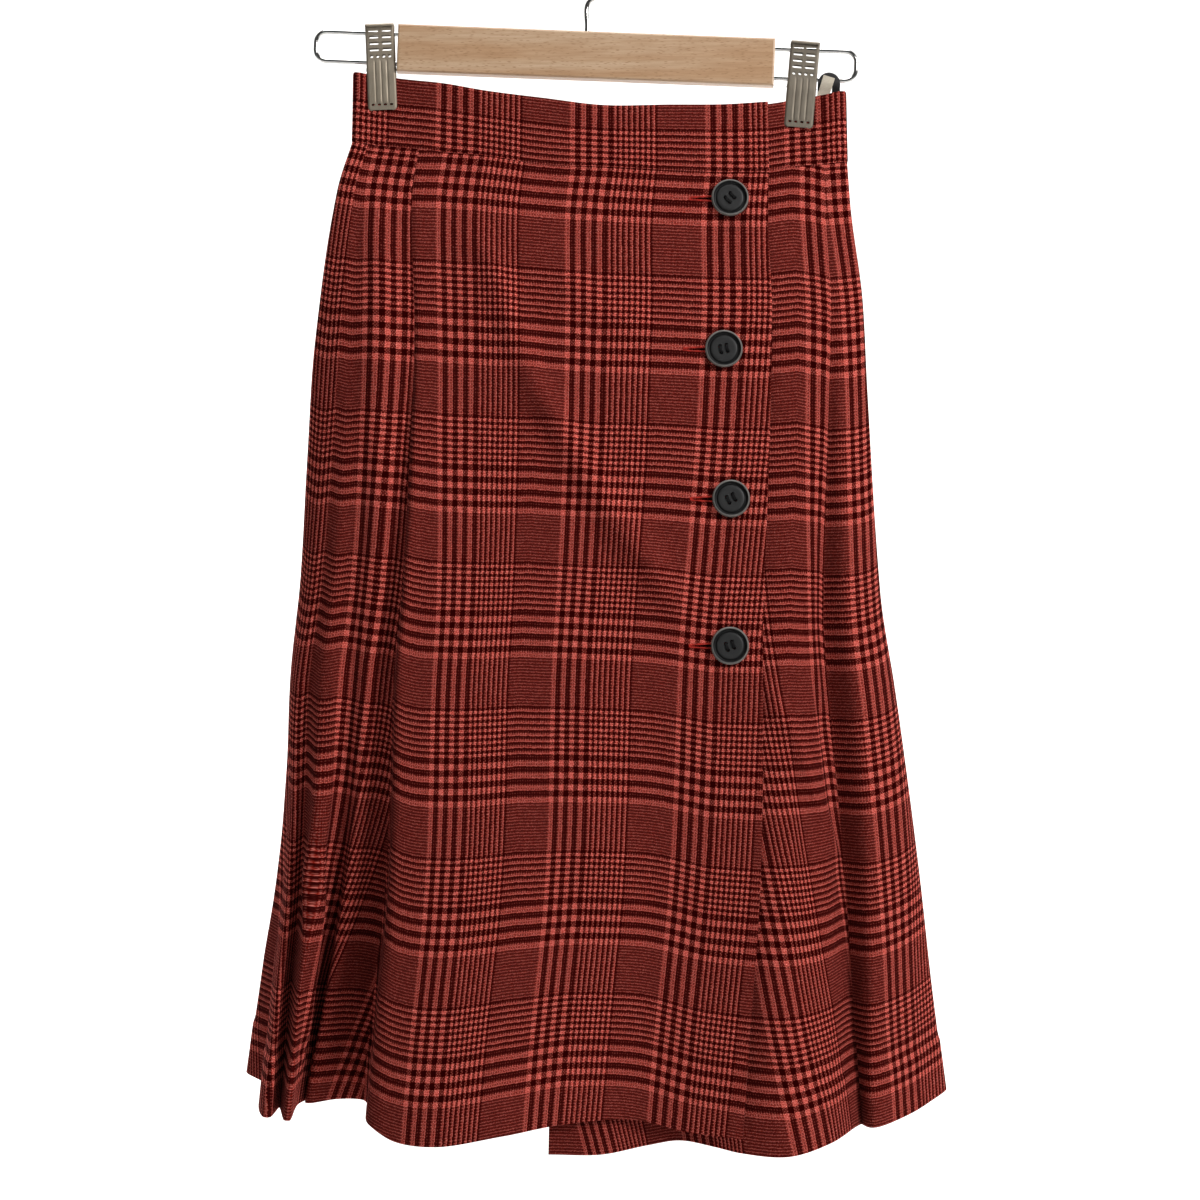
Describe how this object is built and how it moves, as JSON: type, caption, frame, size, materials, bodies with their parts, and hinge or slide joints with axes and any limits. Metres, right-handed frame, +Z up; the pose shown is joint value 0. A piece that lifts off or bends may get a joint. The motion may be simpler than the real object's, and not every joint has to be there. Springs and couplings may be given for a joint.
{
  "type": "wrap skirt on clip hanger",
  "caption": "High-waisted buttoned wrap skirt in red and black glen check with fluted seams, hung by clips from a wooden bar hanger.",
  "frame": {"origin": "inside of the hook's crown, where a rail carries the hanger", "axes": "+Z up, the skirt's front faces -Y, +X is to the right seen from the front"},
  "size_m": [0.4866, 0.1256, 0.8195],
  "materials": {
    "check_cloth": "woven wool blend, matt",
    "button_resin": "satin",
    "black_ribbon": "woven ribbon",
    "pale_tape": "woven tape",
    "pale_wood": "sanded, clear lacquer",
    "chromed_wire": "polished",
    "clip_steel": "nickel plated, pressed"
  },
  "bodies": {
    "root": {"waistband": "check_cloth", "front_wrap_panel": "check_cloth", "side_front_left": "check_cloth", "side_back_left": "check_cloth", "centre_back": "check_cloth", "side_back_right": "check_cloth", "side_front_right": "check_cloth", "underlap_panel": "check_cloth", "button_1": "button_resin", "button_2": "button_resin", "button_3": "button_resin", "button_4": "button_resin", "hanging_loop": "black_ribbon", "folded_tape": "pale_tape", "hanger_bar": "pale_wood", "wire_loop_left": "chromed_wire", "wire_loop_right": "chromed_wire", "hook": "chromed_wire", "clip_left_front": "clip_steel", "clip_left_back": "clip_steel", "clip_left_spring": "clip_steel", "clip_right_front": "clip_steel", "clip_right_back": "clip_steel", "clip_right_spring": "clip_steel"}
  },
  "joints": []
}
